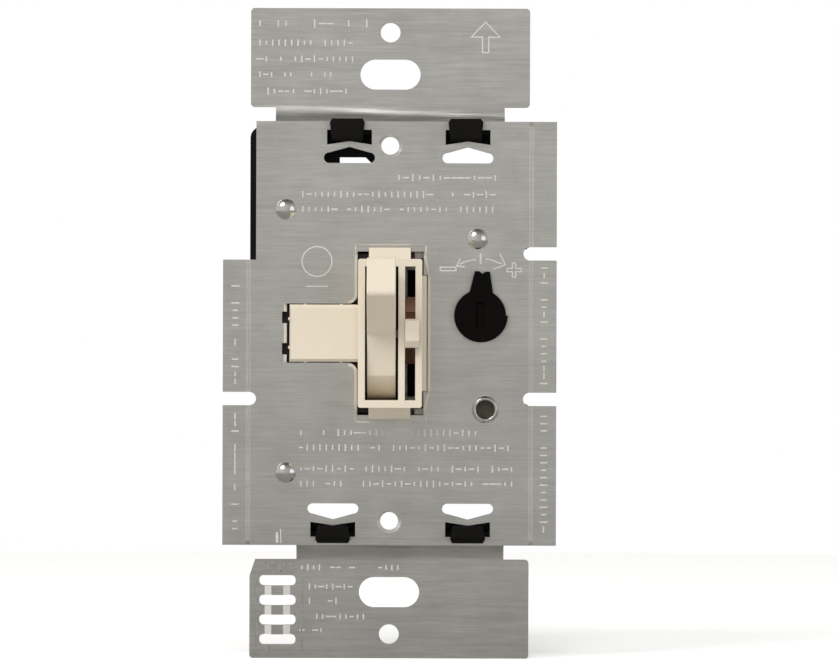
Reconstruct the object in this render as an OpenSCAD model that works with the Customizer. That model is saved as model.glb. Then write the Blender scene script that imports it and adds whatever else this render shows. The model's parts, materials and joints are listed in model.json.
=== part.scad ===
// Single-gang toggle dimmer with a slide control, without its wall plate.
// +Z is up, +X is to the right seen from the front, and the front faces -Y.
// The origin is midway between the two wall-screw slots, on the back of the ears.

/* [Yoke plate] */
// Thickness of the aluminium plate
plate_t = 1.6; // [1.2:0.1:1.8]
// How far the centre of the plate stands in front of its ears
plate_step = 1.5; // [1.2:0.1:1.8]
// Width over the two rows of break-off fins
plate_w = 53.6; // [52:0.1:56]
// Height over both ears
plate_h = 104.6; // [103:0.1:106]
// Height of the raised centre of the plate
centre_h = 68.1; // [67:0.1:69]
// Width of the ears
ear_w = 44.9; // [42:0.1:46]
// Height from the centre to the inner edge of an ear
ear_inner_z = 36.4; // [36:0.1:37]
// Half width of the necks that join the ears to the centre
neck_half_w = 18.4; // [17:0.1:20]
// Left end of the lower neck, which is cut back further
neck_low_left = 14.9; // [14:0.1:16]
// Corner radius of the ears
ear_r = 0.6; // [0.4:0.1:1]

/* [Break-off fins] */
// Distance from the centre line to the broken edge on the left
broken_x = 21.5; // [21.4:0.1:21.8]
// Width of the cut between two fins
fin_gap = 2.15; // [1.8:0.05:2.4]
// Distance from the centre line to the round end of a fin cut
fin_gap_x = 21.45; // [21.3:0.05:22.2]
// Height of the upper fin cut
fin_cut_high = 12.85; // [12.5:0.05:13.2]
// Height of the lower fin cut, below the centre
fin_cut_low = 10.55; // [10.2:0.05:10.9]
// Distance from the centre line to the bend-off groove
score_x = 22.3; // [22.2:0.1:22.6]
// Width of the bend-off groove
score_w = 0.8; // [0.5:0.1:1]
// Depth of the bend-off groove
score_d = 0.4; // [0.2:0.05:0.5]

/* [Wall and cover screw holes] */
// Distance between the wall-screw slots
wall_slot_pitch = 83.34; // [83:0.01:84]
// Length of a wall-screw slot
wall_slot_l = 9.7; // [8:0.1:11]
// Width of a wall-screw slot
wall_slot_w = 4.9; // [4.4:0.1:5.2]
// Distance between the toggle cover's screw holes
cover_hole_pitch = 60.325; // [60:0.005:60.6]
// Radius of the toggle cover's tapped holes
cover_hole_r = 1.45; // [1.4:0.05:1.6]
// Distance between the decorator cover's screw holes
outer_hole_pitch = 96.84; // [96:0.01:97]
// Radius of the decorator cover's screw holes
outer_hole_r = 1.6; // [1.4:0.05:1.8]
// Width of the countersink around the toggle cover's holes
hole_rim = 0.55; // [0.3:0.05:0.7]

/* [Ear tab slots] */
// Number of slots in the bottom left of the lower ear
tab_slots = 4; // [3:1:4]
// Length of a tab slot
tab_slot_l = 5.85; // [5:0.05:6]
// Width of a tab slot
tab_slot_w = 1.65; // [1.4:0.05:1.8]
// Distance from the centre line to the middle of the tab slots
tab_slot_x = 17.95; // [17.5:0.05:18.2]
// Depth of the highest tab slot below the centre
tab_slot_z = 39.8; // [39.5:0.05:40]
// Distance between two tab slots
tab_pitch = 3.16; // [3:0.02:3.3]
// How far the bridges between the tab slots stand out
bridge_rise = 0.8; // [0.5:0.1:1]
// Width of the worn corner above the tab slots
worn_w = 0.9; // [0.3:0.1:1.2]
// Height of the worn corner
worn_h = 2.6; // [1:0.1:3]

/* [Snap hooks and their windows] */
// Width of a hook window
window_w = 7.2; // [7:0.1:7.6]
// Height from the centre to the near edge of a hook window
window_z0 = 30.3; // [30.2:0.1:30.5]
// Height from the centre to the far edge of a hook window
window_z1 = 32.7; // [32.5:0.1:33]
// Height of the chevron in the window's near edge
chevron_rise = 0.55; // [0.3:0.05:0.7]
// Width of the relief slot beside a window
relief_w = 8.2; // [7.8:0.1:8.4]
// Height from the centre to the flat edge of a relief slot
relief_z0 = 27.35; // [27.2:0.05:27.5]
// Height of a relief slot at its round ends
relief_h = 1.7; // [1.5:0.05:1.8]
// Height of the chevron in the far edge of a relief slot
relief_rise = 0.9; // [0.6:0.05:1]
// Width of a snap hook
hook_w = 5.6; // [5:0.1:6]
// How far a hook stands in front of the plate
hook_rise = 1.5; // [1:0.1:2]
// How far a hook reaches over the edge of its window
hook_reach = 1.8; // [1.2:0.1:2]
// How far the lower hooks reach over theirs
hook_reach_low = 1; // [0.8:0.1:1.8]

/* [Bezel] */
// Distance from the centre line to the left side of the nose
nose_left = 5.05; // [5:0.05:5.15]
// Distance from the centre line to the right side of the nose
nose_right = 5.2; // [5.1:0.05:5.25]
// Height of the nose
nose_h = 23.8; // [23.6:0.1:24]
// How far the nose stands in front of the wall plane
nose_y = 8.6; // [8:0.1:9]
// Height of the two long slots in the nose
slot_h = 21.4; // [21:0.1:21.6]
// Length of the arm of the bezel, from the nose to its end
arm_end = 16.1; // [15.8:0.1:16.3]
// Height of the arm
arm_h = 9.2; // [9:0.1:9.4]
// How far the arm stands in front of the plate
arm_rise = 0.4; // [0.2:0.1:0.8]
// Width of the bevel along the edges of the arm
arm_bevel = 0.45; // [0.3:0.05:0.6]
// Height of the ramps above and below the nose
tab_h = 1.85; // [1.6:0.05:1.9]
// Half width of those ramps
tab_half_w = 3.35; // [3:0.05:3.5]
// Half height of the lip along the right side of the nose
lip_half_h = 9.3; // [9:0.1:9.4]

/* [Toggle] */
// Width of the toggle
toggle_w = 4.6; // [4.4:0.1:4.7]
// Distance from the centre line to the middle of the toggle
toggle_x = 1.3; // [1.2:0.05:1.35]
// Depth of the toggle's pivot behind the wall plane
pivot_y = 1.4; // [1:0.1:1.6]
// Radius of the toggle's drum
drum_r = 11; // [10.8:0.1:11.1]
// Distance from the pivot to the end of the toggle
toggle_reach = 20.4; // [19:0.1:21]
// Thickness of the toggle at its end
toggle_tip_t = 6.9; // [6:0.1:7.2]
// Thickness of the toggle where it leaves the drum
toggle_root_t = 9.5; // [9:0.1:10]
// How far the toggle leans up, or down, from straight out
toggle_lean = 27; // [24:1:27]
// Radius of the pivot pin
pin_r = 1; // [0.8:0.1:1.2]
// Radial clearance of the toggle on its pin
pin_play = 0.05; // [0.02:0.01:0.08]

/* [Slide control] */
// Distance from the centre line to the middle of the slide slot
slide_x = 3.3; // [3.2:0.05:3.35]
// Width of the slide slot
slide_slot_w = 1.66; // [1.5:0.02:1.7]
// Width of the slide knob
knob_w = 2.3; // [2.2:0.05:2.6]
// Height of the slide knob
knob_h = 4.7; // [4.4:0.1:5]
// How far the knob stands in front of the nose
knob_rise = 2.4; // [1.5:0.1:3]
// Travel of the knob to each side of the middle
slide_travel = 8; // [6:0.5:8]
// Length of the brown carriage
carriage_l = 10.8; // [10:0.1:11]
// How far the carriage sits above the middle of the knob
carriage_up = 0.5; // [0:0.1:0.6]

/* [Trim dial] */
// Distance from the centre line to the dial
dial_x = 14.5; // [14.4:0.05:14.6]
// Height of the dial
dial_z = 2.9; // [2.8:0.05:3]
// Radius of the dial
dial_r = 4.15; // [4:0.05:4.3]
// Distance from the dial's centre to the end of its pointer
pointer_l = 7.1; // [6.8:0.1:7.2]
// How far the pointer leans to the right
pointer_lean = 3; // [0:1:6]

/* [Rivets and eyelet] */
// Radius of a rivet's domed head
rivet_r = 1.7; // [1.4:0.05:1.8]
// Height of a rivet's domed head
rivet_dome = 0.8; // [0.6:0.05:1]
// Outer radius of the eyelet
eyelet_r = 2.2; // [2:0.05:2.2]
// Inner radius of the eyelet
eyelet_bore_r = 1.48; // [1.4:0.02:1.5]

/* [Back cover] */
// Width of the back cover
cover_w = 45; // [44.6:0.1:45]
// Height of the cover's shallow front, behind the plate
shelf_h = 66.4; // [66:0.1:66.6]
// Height of the cover's deep box
box_h = 52.8; // [52:0.1:53]
// Depth of the cover behind the wall plane
cover_depth = 29; // [28:0.1:31]
// Thickness of the cover's walls
cover_wall = 1.3; // [1.1:0.1:1.4]
// Depth of the cover's shallow front behind the wall plane
shelf_depth = 2.4; // [2:0.1:3]
// Radius of the cover's corners
cover_r = 1.8; // [1.2:0.1:2]

/* [Terminals] */
// Depth of the terminal screws behind the wall plane
term_y = 16.5; // [16.4:0.1:17]
// Height of a terminal screw above or below the centre
term_z = 17.5; // [17.3:0.1:17.6]
// Half size of a terminal recess
recess_half = 4.7; // [4.4:0.1:5]
// Depth of a terminal recess
recess_d = 3.9; // [3.5:0.1:4]
// Radius of a terminal screw's head
screw_head_r = 3.5; // [3.2:0.1:3.7]
// Radius of a terminal screw's thread
screw_r = 1.7; // [1.5:0.1:1.75]

/* [Circuit board] */
// Depth of the board's front face behind the wall plane
board_y = 13; // [12.9:0.1:13.2]
// Thickness of the board
board_t = 1.6; // [1:0.1:1.6]
// Width of the board
board_w = 33; // [32:0.1:33.4]
// Height of the board
board_h = 48; // [46:0.1:49]

/* [Hidden] */
$fn = 64;

// Slack of pieces that lie against each other
seat = 0.05;
// Extra length of a cutting tool past the face it cuts
over = 1;
// Air left between pieces that don't touch
room = 0.4;

// Depths, front to back
ear_front = -plate_t;
centre_front = -plate_t - plate_step;
centre_back = -plate_step;
behind_plate = centre_back + seat;

// Distance over which the plate steps from its centre to an ear, and the bend's shape
step_run = 2.6;
step_facets = 8;
step_shape = 2.4;
centre_half = centre_h / 2;
plate_half = plate_w / 2;

// Opening of the plate around the nose, the arm and the lip
opening_left = 5.2;
opening_right = 5.45;
opening_bulge = 6.1;
opening_bulge_z = 9.4;
opening_half = 13.15;
// Coined ledge around the opening, and the coined wedge beside the nose
ledge_x = [-5.4, 5.7];
ledge_half = 14.15;
ledge_d = 0.5;
ledge_bevel = 0.25;
wedge_z = 12.6;
wedge_d = 0.4;
arm_opening = arm_end + 0.45;
arm_opening_half = arm_h / 2 + 0.15;
notch_d = 0.75;
notch_z0 = 1.6;
notch_z1 = 3.45;
corner_r = 1.5;
edge_bevel = 0.5;

// Front layout of the hooks, as the places of their windows: [x, side]
hooks = [[-6.55, 1], [12.5, 1], [-9.05, -1], [12.6, -1]];
// Hole that only the first hook's relief shares with the cover behind it
relief_view_x = [-8.15, -4];
relief_view_slant = 2.1;
relief_view_z = 28.4;
// How far the upper hooks sit left of the middle of their windows
hook_shift = 0.35;
// Sloped faces of a hook: how far they lean, and how high the upper one is
hook_slope = 0.4;
hook_brow = 0.65;
hook_taper = 0.35;

// Slots in the ear, and the bowed bridges between them
tab_slot_r = 0.7;
bridge_half_w = 2;
bridge_ramp = 1.1;

// Rivets: the first holds the triac, the others hold the frame
rivet_places = [[-16.7, 19.9], [-16.6, -22.4], [14.1, 15.2]];
triac_rivet = rivet_places[0];
rivet_shank_r = 1.15;
rivet_tail = 0.6;
// Part of the dome's height that is left by its flat
rivet_flat = 0.94;
eyelet_place = [15.4, -12.2];
eyelet_barrel_r = 1.75;
eyelet_lip = 0.35;
// Bevel that rolls the eyelet's front edge into its bore
eyelet_roll = 0.12;
ground_tab_t = 0.8;
ground_tab_l = 9;
ground_tab_w = 5;
crimp_h = 2;
crimp_l = 3;
// Half width of the frame's hole around the ring tongue
tab_room = 3.2;

nose_half = nose_h / 2;
nose_front = -nose_y;
nose_r = 0.4;
bezel_back = centre_back - 0.15;
slot_half = slot_h / 2;
toggle_slot = [-3.93, 1.4];
toggle_slot_play = 0.3;
// Flat on each side of the lever's root, and the knee where the drum's round starts
toggle_flat_r = 10;
toggle_flat_a = 28.2;
toggle_knee_a = 65;
tip_r = 0.9;
// Crush pips that centre the arm
pip_r = 0.27;
pip_x = [-13.6, -7.8];
pip_z = 2.3;
slide_slot = [slide_x - slide_slot_w / 2, slide_x + slide_slot_w / 2];
toggle_sides = [-toggle_x - toggle_w / 2, -toggle_x + toggle_w / 2];

// The toggle's cam and the shuttle that it drives
cam_reach = 7.8;
cam_r = 1.2;
cam_web_half = 0.7;
cam_x = [-1.8, 0.2];
cam_play = 0.3;
drum_back = 2.6;
shuttle_x = [-2.5, 0.8];
shuttle_y = [7.4, 11.6];
shuttle_half = 3.2;
shuttle_rest_z = -cam_reach * sin(toggle_lean);
bridge_half = 3.5;
bridge_t = 0.4;
dimple_z = 3;
dimple_r = 0.6;
dimple_t = 0.45;
blade_inset = 0.3;
pad_t = 0.25;
pad_half = 1.6;
pad_pitch = 6.5;

// Frame that carries the pivot pin and the board
frame_t = 1.75;
frame_back = behind_plate + frame_t;
frame_half = [20, 24.6];
frame_opening = [-5.3, 6.2];
frame_opening_half = 14.6;
cradle_left = [-4.9, -3.95];
cradle_right = [1.35, 2.1];
cradle_half = 12.8;
cradle_end_t = 0.8;
pin_head_r = 1.6;
pin_head_x = cradle_left[0] - 0.65;
frame_posts = [[-12, -21.8], [14.5, -21.6], [14.5, 21.6], [-14.5, 2]];
post_r = 1.9;
peg_r = 1.1;
peg_tail = 0.8;
bezel_pegs = [[-10, 2.4], [-10, -2.4]];
bezel_peg_r = 0.9;

// Slide potentiometer
pot_x = [2.4, 8.4];
pot_y = [6.9, board_y - seat];
pot_half = 17;
pot_wall = 0.5;
pot_slot_right = 4.1;
pot_slot_half = slide_travel + 2.2;
carriage_x = [2.45, 5.2];
carriage_y = [-1.2, 0.3];
carriage_stem_x = [3.1, 3.8];
wiper_y = [8, 9.6];
strip_y = [11.4, 12.2];
wiper_half = 2;
finger_x = [4.6, 6.4];
finger_w = 0.9;
finger_t = 0.25;
stem_half = 1.3;
knob_neck = 0.5;
// Air between the knob and the nose, and its offset and bevel
knob_lift = 0.3;
knob_shift = 0.33;
knob_bevel = 0.9;

pot_ear_x = [3.9, 6.4];
pot_ear_z = [12, 13.2];
pot_ear_front = 0.8;

// Trimmer
trim_half = 2.7;
trim_y = 8;
dial_gap = 0.2;
dial_t = 0.8;
dial_front = centre_front - dial_gap - dial_t;
dial_hub_r = 2.1;
dial_hub_play = 0.35;
dial_stem_r = 1.2;
rotor_r = 2;
rotor_play = 0.08;
rotor_y = [7.2, 9.6];

// Cover and terminals
cover_half = cover_w / 2;
shelf_half = shelf_h / 2;
box_half = box_h / 2;
shelf_floor = 0.9;
recess_floor = cover_half - recess_d;
term_plate_t = 0.9;
clamp_t = 1;
clamp_half = 3.4;
tail_half = 1.6;
tail_lap = 1.5;
thread_play = 0.1;
clamp_x = recess_floor + term_plate_t + 0.3;
head_x = clamp_x + clamp_t;
head_t = 1.6;
screw_tail = 1.5;
drive_w = 0.9;
drive_d = 0.9;
// Grooves in the cover behind the fin cuts: [side of the cover, height]
fin_grooves = [[1, fin_cut_high], [1, -fin_cut_low], [-1, -fin_cut_low]];
// Terminals: [side of the cover, height]; the last is the common one
terminals = [[1, term_z], [1, -term_z], [-1, -term_z]];

board_back = board_y + board_t;

// Triac, laid flat against the plate on its insulating pad
triac_half = 4.9;
triac_x = [-19.5, -4.2];
triac_tab_end = -13;
triac_pad_t = 0.2;
triac_tab_t = 1.3;
triac_body_t = 4.4;
triac_tab_back = centre_back + triac_pad_t + triac_tab_t;
triac_pitch = 2.54;
triac_lead = 0.8;
triac_lead_depth = 2;
triac_lead_run = 3;
pad_margin = 0.2;

// Parts on the back of the board
choke_place = [-5, 10.5];
choke_ring = [5, 9];
choke_t = 8;
choke_wire = 0.9;
choke_turns = 22;
choke_arc = 300;
choke_front = board_back + choke_wire + 0.1;
cap_places = [[10, -6], [10, -15.5]];
cap_r = 4;
cap_l = 11.5;
film_x = [-14, 3.5];
film_z = [-13.5, -5.5];
film_d = 11.5;
resistor_x = 11;
resistor_z = [3, 7, 11, 15];
resistor_r = 1.1;
resistor_l = 6;
diac_place = [-8, -18.5];
diac_r = 0.9;
diac_l = 3.6;
wire_r = 0.35;
wire_run = 1.5;

// ---------- shared shapes ----------

// Block between two corners, each side given as [low, high]
module block(x, y, z) {
  translate([x[0], y[0], z[0]])
    cube([x[1] - x[0], y[1] - y[0], z[1] - z[0]]);
}

// Rod along Y through the point x, z
module rod_y(x, z, r, y0, y1) {
  translate([x, y1, z]) rotate([90, 0, 0]) cylinder(r = r, h = y1 - y0);
}

// Rod along X through the point y, z
module rod_x(y, z, r, x0, x1) {
  translate([x0, y, z]) rotate([0, 90, 0]) cylinder(r = r, h = x1 - x0);
}

// Front outline, drawn as x and z, made into a slab between two depths
module slab(y0, y1) {
  translate([0, y1, 0]) rotate([90, 0, 0]) linear_extrude(y1 - y0) children();
}

// Side outline, drawn as y and z, stretched between two places along X
module stretch(x0, x1) {
  translate([x0, 0, 0]) rotate([90, 0, 90]) linear_extrude(x1 - x0) children();
}

// Rectangle with round corners, centred
module round_rect(w, h, r) {
  square([w - 2 * r, h], center = true);
  square([w, h - 2 * r], center = true);
  for (x = [-1, 1], z = [-1, 1])
    translate([x * (w / 2 - r), z * (h / 2 - r)]) circle(r);
}

// Slot with round ends along X, centred
module obround(l, w) {
  square([l - w, w], center = true);
  for (x = [-1, 1]) translate([x * (l - w) / 2, 0]) circle(d = w);
}

// Triangular cut along the front edge from a to b, with the metal on its left
module edge_cut(a, b, w) {
  run = b - a;
  l = norm(run);
  translate([a[0], centre_front, a[1]]) rotate([0, -atan2(run[1], run[0]), 0])
    rotate([90, 0, 90]) linear_extrude(l)
      polygon([[w, 0], [w, -seat], [-seat, -seat], [-seat, w]]);
}

// ---------- yoke ----------

// Side view of the plate: centre forward, ears back, joined by a bend that flattens out
module plate_side() {
  half = plate_h / 2;
  bend = [for (i = [0 : step_facets])
    let(t = i / step_facets) [step_run * t, plate_step * (1 - pow(1 - t, step_shape))]];
  edge = [for (p = bend) [centre_back + p[1], centre_half + p[0]]];
  upper = concat([for (p = edge) p - [plate_t, 0]], [[ear_front, half], [0, half]],
    [for (i = [step_facets : -1 : 0]) edge[i]]);
  n = len(upper) - 1;
  polygon(concat(upper, [for (i = [0 : n]) [upper[n - i][0], -upper[n - i][1]]]));
}

module fin_cut(side, z) {
  r = fin_gap / 2;
  inner = fin_gap_x + r;
  translate([side * (inner + over + (plate_half - inner) / 2), z])
    square([plate_half - inner + 2 * over, fin_gap], center = true);
  translate([side * (inner + over / 2), z]) square([over, fin_gap], center = true);
  translate([side * inner, z]) circle(r);
}

module plate_front() {
  ear_h = plate_h / 2 - ear_inner_z;
  difference() {
    for (side = [-1, 1])
      translate([0, side * (ear_inner_z + ear_h / 2)]) round_rect(ear_w, ear_h, ear_r);
    translate([-ear_w / 2, -ear_inner_z])
      polygon([[-over, over], [worn_w, over], [worn_w, 0], [0, -worn_h], [-over, -worn_h]]);
  }
  translate([-neck_half_w, 0]) square([2 * neck_half_w, ear_inner_z + ear_r]);
  translate([-neck_low_left, -ear_inner_z - ear_r])
    square([neck_low_left + neck_half_w, ear_inner_z + ear_r]);
  difference() {
    square([plate_w, centre_h], center = true);
    translate([-plate_half - over, fin_cut_high - fin_gap / 2])
      square([plate_half + over - broken_x, centre_half]);
    fin_cut(-1, -fin_cut_low);
    fin_cut(1, -fin_cut_low);
    fin_cut(1, fin_cut_high);
  }
}

module opening_front() {
  polygon([
    [-opening_left, -opening_half], [opening_right, -opening_half],
    [opening_right, -opening_bulge_z], [opening_bulge, -opening_bulge_z],
    [opening_bulge, opening_bulge_z], [opening_right, opening_bulge_z],
    [opening_right, opening_half], [-opening_left, opening_half]
  ]);
  translate([-arm_opening, -arm_opening_half])
    square([arm_opening - opening_left + over, 2 * arm_opening_half]);
  for (side = [-1, 1]) {
    difference() {
      translate([-opening_left - corner_r, side * (arm_opening_half + corner_r / 2)])
        translate([0, -corner_r / 2]) square(corner_r);
      translate([-opening_left - corner_r, side * (arm_opening_half + corner_r)])
        circle(corner_r);
    }
    translate([-arm_opening - notch_d / 2 + over / 2, side * (notch_z0 + notch_z1) / 2])
      square([notch_d + over, notch_z1 - notch_z0], center = true);
  }
}

module window_front() {
  half = window_w / 2;
  polygon([
    [-half, window_z0], [0, window_z0 + chevron_rise], [half, window_z0],
    [half, window_z1], [-half, window_z1]
  ]);
}

module relief_front() {
  r = relief_h / 2;
  flat = relief_w / 2 - r;
  translate([0, relief_z0 + r]) obround(relief_w, relief_h);
  polygon([[-flat, relief_z0 + relief_h], [flat, relief_z0 + relief_h],
    [0, relief_z0 + relief_h + relief_rise]]);
}

// V groove along which the fins bend off
module score(side, z0, z1) {
  translate([side * (score_x + score_w / 2), centre_front, z0]) linear_extrude(z1 - z0)
    polygon([[-score_w / 2, -seat], [score_w / 2, -seat], [0, score_d]]);
}

module tab_zone() {
  for (i = [0 : tab_slots - 1])
    translate([-tab_slot_x, 0, -tab_slot_z - i * tab_pitch])
      slab(-plate_t - over, over) round_rect(tab_slot_l, tab_slot_w, tab_slot_r);
  // Bridges between the slots are cut out here and put back bowed
  for (i = [0 : tab_slots - 2])
    block([-tab_slot_x - bridge_half_w, -tab_slot_x + bridge_half_w],
      [-plate_t - over, over],
      [-tab_slot_z - (i + 1) * tab_pitch + tab_slot_w / 2 - seat,
        -tab_slot_z - i * tab_pitch - tab_slot_w / 2 + seat]);
}

module bridge(z0, z1) {
  half = bridge_half_w + seat;
  crown = half - bridge_ramp;
  translate([-tab_slot_x, 0, z0]) linear_extrude(z1 - z0)
    polygon([
      [-half, ear_front], [-crown, ear_front - bridge_rise], [crown, ear_front - bridge_rise],
      [half, ear_front], [half, 0], [crown, -bridge_rise], [-crown, -bridge_rise], [-half, 0]
    ]);
}

module yoke_plate() {
  color("silver") {
    difference() {
      intersection() {
        slab(centre_front, 0) plate_front();
        stretch(-plate_half, plate_half) plate_side();
      }
      slab(centre_front - over, over) opening_front();
      // Coined ledges that the ramps of the bezel rest on
      for (side = [-1, 1]) scale([1, 1, side])
        block(ledge_x, [centre_front - over, centre_front + ledge_d], [wedge_z, ledge_half]);
      // Coined wedges beside the nose, between its corner and the lip
      for (side = [-1, 1]) scale([1, 1, side])
        slab(centre_front - over, centre_front + wedge_d)
          polygon([
            [opening_right - over, wedge_z], [opening_right, wedge_z],
            [opening_bulge, opening_bulge_z - seat], [opening_right - over, opening_bulge_z - seat]
          ]);
      // Bevels along the opening, and the screw slots and holes above and below it
      for (side = [-1, 1]) {
        opening_bevels(side);
        translate([0, 0, side * wall_slot_pitch / 2])
          slab(-plate_t - over, over) obround(wall_slot_l, wall_slot_w);
        rod_y(0, side * outer_hole_pitch / 2, outer_hole_r, -plate_t - over, over);
        rod_y(0, side * cover_hole_pitch / 2, cover_hole_r, centre_front - over, over);
        translate([0, centre_front - seat, side * cover_hole_pitch / 2]) rotate([-90, 0, 0])
          cylinder(r1 = cover_hole_r + hole_rim, r2 = cover_hole_r, h = hole_rim);
      }
      for (hook = hooks) {
        translate([hook[0], 0, 0]) scale([1, 1, hook[1]])
          slab(centre_front - over, 0) {
            window_front();
            relief_front();
          }
      }
      score(1, -centre_half - over, centre_half + over);
      score(-1, -centre_half - over, fin_cut_high);
      for (place = rivet_places)
        rod_y(place[0], place[1], rivet_shank_r, centre_front - over, over);
      rod_y(eyelet_place[0], eyelet_place[1], eyelet_barrel_r, centre_front - over, over);
      rod_y(dial_x, dial_z, dial_hub_r + dial_hub_play, centre_front - over, over);
      tab_zone();
    }
    for (i = [0 : tab_slots - 2])
      bridge(-tab_slot_z - (i + 1) * tab_pitch + tab_slot_w / 2,
        -tab_slot_z - i * tab_pitch - tab_slot_w / 2);
  }
}

// Bevels on the upper or lower half of the opening
module opening_bevels(side) {
  mirror([0, 0, side < 0 ? 1 : 0]) {
    // Left edge of the tall part, and the round corner above the arm
    edge_cut([-opening_left, arm_opening_half + corner_r], [-opening_left, wedge_z], edge_bevel);
    translate([-opening_left - corner_r, centre_front, arm_opening_half + corner_r])
      rotate([-90, 0, 0]) rotate_extrude(angle = 90)
        polygon([[corner_r - edge_bevel, -seat], [corner_r + seat, -seat],
          [corner_r + seat, edge_bevel]]);
    // Right edge: the bulge and the slope above it
    edge_cut([opening_bulge, opening_bulge_z], [opening_bulge, -over], edge_bevel);
    edge_cut([opening_right, wedge_z], [opening_bulge, opening_bulge_z], wedge_d);
    // Edge of the ledge
    edge_cut([ledge_x[0], wedge_z], [ledge_x[0], ledge_half], ledge_bevel);
    edge_cut([ledge_x[0], ledge_half], [ledge_x[1], ledge_half], ledge_bevel);
    edge_cut([ledge_x[1], ledge_half], [ledge_x[1], wedge_z], ledge_bevel);
    // End of the arm's opening, between and beside its notches
    edge_cut([-arm_opening, -over], [-arm_opening, notch_z0], edge_bevel);
    edge_cut([-arm_opening, notch_z1], [-arm_opening, arm_opening_half], edge_bevel);
  }
}

module rivets() {
  color("gainsboro")
    for (place = rivet_places) {
      translate([place[0], centre_front, place[1]]) rotate([90, 0, 0]) rivet_head();
      back = place == triac_rivet ? triac_tab_back : frame_back;
      rod_y(place[0], place[1], rivet_shank_r - seat, centre_front - seat, back + 2 * seat);
      rod_y(place[0], place[1], rivet_r, back + seat, back + seat + rivet_tail);
    }
}

// Domed head with a small flat on top
module rivet_head() {
  dome_r = (rivet_r * rivet_r + rivet_dome * rivet_dome) / (2 * rivet_dome);
  intersection() {
    translate([0, 0, rivet_dome - dome_r]) sphere(dome_r);
    cylinder(r = rivet_r, h = rivet_dome * rivet_flat);
  }
}

// Drawn cup: its front is rolled over the plate, and its floor closes the bore
module eyelet() {
  back = centre_back + ground_tab_t;
  front = centre_front - eyelet_lip;
  color("lightgray")
    translate([eyelet_place[0], 0, eyelet_place[1]]) rotate([-90, 0, 0])
      rotate_extrude()
        polygon([
          [0, back], [eyelet_bore_r, back], [eyelet_bore_r, front + eyelet_roll],
          [eyelet_bore_r + eyelet_roll, front], [eyelet_r - eyelet_lip, front],
          [eyelet_r, centre_front],
          [eyelet_barrel_r - seat, centre_front], [eyelet_barrel_r - seat, back],
          [eyelet_r, back], [eyelet_r - eyelet_lip, back + eyelet_lip],
          [0, back + eyelet_lip]
        ]);
}

// Ring tongue with an open crimp barrel for the earth lead
module ground_tab() {
  back = centre_back + ground_tab_t;
  color("goldenrod") difference() {
    union() {
      rod_y(eyelet_place[0], eyelet_place[1], ground_tab_w / 2 + 0.3, centre_back, back);
      block([eyelet_place[0] - ground_tab_w / 2, eyelet_place[0] + ground_tab_w / 2],
        [centre_back, back], [eyelet_place[1] - ground_tab_l, eyelet_place[1]]);
      for (side = [-1, 1])
        translate([eyelet_place[0] + side * (ground_tab_w - ground_tab_t) / 2, 0, 0])
          block([-ground_tab_t / 2, ground_tab_t / 2], [centre_back, back + crimp_h],
            [eyelet_place[1] - ground_tab_l, eyelet_place[1] - ground_tab_l + crimp_l]);
    }
    rod_y(eyelet_place[0], eyelet_place[1], eyelet_barrel_r, centre_back - over, back + over);
  }
}

// ---------- bezel ----------

// Side view of a ramp above the nose
module ramp_side() {
  polygon([
    [centre_front + ledge_d - seat, nose_half - over], [-6, nose_half - over], [-6, nose_half],
    [centre_front - arm_rise, nose_half + tab_h], [centre_front + ledge_d - seat, nose_half + tab_h]
  ]);
}

module bezel_arm() {
  half = arm_h / 2;
  front = centre_front - arm_rise;
  shoulder = front + arm_bevel;
  // Flat top with bevels: two stretched outlines crossed with each other
  intersection() {
    stretch(-arm_end, -nose_left + over)
      polygon([
        [bezel_back, -half], [shoulder, -half], [front, -half + arm_bevel],
        [front, half - arm_bevel], [shoulder, half], [bezel_back, half]
      ]);
    translate([0, 0, -half]) linear_extrude(arm_h)
      polygon([
        [-arm_end, bezel_back], [-arm_end, shoulder], [-arm_end + arm_bevel / 2, front],
        [-nose_left + over, front], [-nose_left + over, bezel_back]
      ]);
  }
  // Crush pips that centre the arm in the plate
  for (side = [-1, 1]) {
    for (x = pip_x) rod_y(x, side * (half - pip_r / 2), pip_r, shoulder, bezel_back);
    rod_y(-arm_end + pip_r / 2 - 0.1, side * pip_z, pip_r, shoulder, bezel_back);
  }
}

module bezel() {
  color("bisque") difference() {
    union() {
      slab(nose_front, bezel_back)
        translate([(nose_right - nose_left) / 2, 0])
          round_rect(nose_left + nose_right, nose_h, nose_r);
      for (side = [-1, 1]) {
        scale([1, 1, side]) stretch(-tab_half_w, tab_half_w) ramp_side();
        // Part of the ramp that fills the plate's opening
        block([-tab_half_w, tab_half_w], [centre_front - seat, bezel_back],
          side > 0 ? [nose_half - over, opening_half - seat] : [seat - opening_half, over - nose_half]);
      }
      bezel_arm();
      block([nose_right - over, opening_bulge - 0.15], [centre_front + 0.5, bezel_back],
        [-lip_half_h, lip_half_h]);
      for (peg = bezel_pegs)
        rod_y(peg[0], peg[1], bezel_peg_r, bezel_back - seat, frame_back - 0.2);
    }
    block(toggle_slot, [nose_front - over, bezel_back + over], [-slot_half, slot_half]);
    rod_x(pivot_y, 0, drum_r + toggle_slot_play, toggle_slot[0], toggle_slot[1]);
    block(slide_slot, [nose_front - over, bezel_back + over], [-slot_half, slot_half]);
  }
}

// ---------- toggle ----------

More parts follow.
